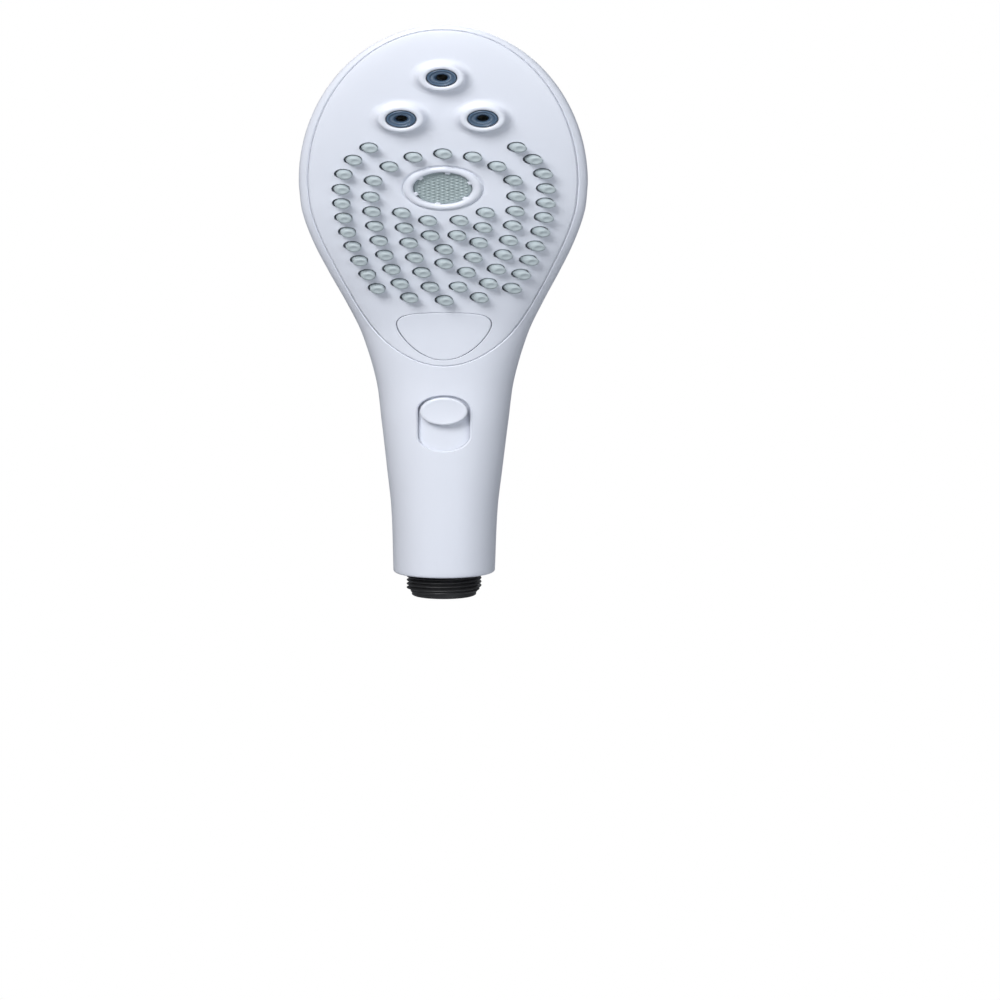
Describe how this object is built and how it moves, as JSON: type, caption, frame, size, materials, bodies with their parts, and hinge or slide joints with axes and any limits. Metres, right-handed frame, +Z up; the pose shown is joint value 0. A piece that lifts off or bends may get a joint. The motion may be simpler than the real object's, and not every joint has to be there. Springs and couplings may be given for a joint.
{
  "type": "handheld shower head",
  "caption": "Handheld shower head with an oval spray face, round rubber nozzles, a push button that changes the spray, a flow slider and a threaded hose connector.",
  "frame": {"origin": "centre of the hose connector's end face", "axes": "+Z up along the handle to the head, the spray face towards -Y, +X to the right seen from the front"},
  "size_m": [0.0798, 0.0772, 0.28],
  "materials": {
    "white_plastic": "satin moulded",
    "grey_silicone": "smooth matte",
    "disc_silicone": "matte, patterned",
    "jet_rubber": "glossy",
    "black_plastic": "satin moulded",
    "acetal": "smooth natural",
    "grey_plastic": "moulded",
    "seal_rubber": "matte",
    "stainless": "drawn wire and sheet"
  },
  "bodies": {
    "housing": {"rear_shell": "white_plastic", "spray_panel": "white_plastic", "centre_bezel": "white_plastic", "nozzle_mat": "grey_silicone", "flow_limiter": "grey_silicone", "centre_spray_disc": "disc_silicone", "jet_insert_top": "jet_rubber", "jet_insert_left": "jet_rubber", "jet_insert_right": "jet_rubber", "hose_connector": "black_plastic", "water_plate": "acetal", "chamber_cover": "acetal", "check_valve_body": "acetal", "diverter_housing": "grey_plastic", "feed_channels": "grey_plastic", "riser_pipe": "grey_plastic", "water_pipe": "grey_plastic", "valve_body": "grey_plastic", "chamber_seal": "seal_rubber", "button_seal": "seal_rubber", "port_seal_1": "seal_rubber", "port_seal_2": "seal_rubber", "port_seal_3": "seal_rubber", "connector_o_ring": "seal_rubber", "chamber_screw_1": "stainless", "chamber_screw_2": "stainless", "chamber_screw_3": "stainless", "chamber_screw_4": "stainless", "chamber_screw_5": "stainless", "chamber_screw_6": "stainless", "button_spring": "stainless", "slider_detent": "stainless", "strainer_screen": "stainless", "check_valve_spring": "stainless"},
    "button": {"mode_button": "white_plastic", "button_stem": "acetal"},
    "ratchet": {"ratchet_ring": "acetal"},
    "diverter": {"diverter_disc": "acetal"},
    "slider": {"slider_knob": "white_plastic", "slider_strip": "white_plastic", "valve_spool": "acetal", "valve_o_ring_lower": "seal_rubber", "valve_o_ring_upper": "seal_rubber"},
    "check_valve": {"check_valve_poppet": "acetal"}
  },
  "joints": [
    {"name": "mode_button_press", "type": "slide", "parent": "housing", "child": "button", "axis": [0, 0.9833, 0.1822], "range_m": [0, 0.002], "stiffness_N_per_m": 1500, "springref_m": -0.002, "deforming": ["button_spring"]},
    {"name": "ratchet_turn", "type": "hinge", "parent": "housing", "child": "ratchet", "pos_m": [0, -0.01795, 0.1286], "axis": [0, 0.9833, 0.1822], "range_deg": [0, 60.5]},
    {"name": "diverter_turn", "type": "hinge", "parent": "housing", "child": "diverter", "pos_m": [0, -0.01795, 0.1286], "axis": [0, 0.9833, 0.1822], "continuous": true},
    {"name": "flow_slider", "type": "slide", "parent": "housing", "child": "slider", "axis": [0, 0, -1], "range_m": [0, 0.012]},
    {"name": "check_valve_lift", "type": "slide", "parent": "housing", "child": "check_valve", "axis": [0, 0, 1], "range_m": [0, 0.002], "stiffness_N_per_m": 100, "springref_m": -0.001, "deforming": ["check_valve_spring"]}
  ],
  "couplings": [
    {"joint": "ratchet_turn", "follows": "mode_button_press", "rad_per_m": 523.6}
  ]
}
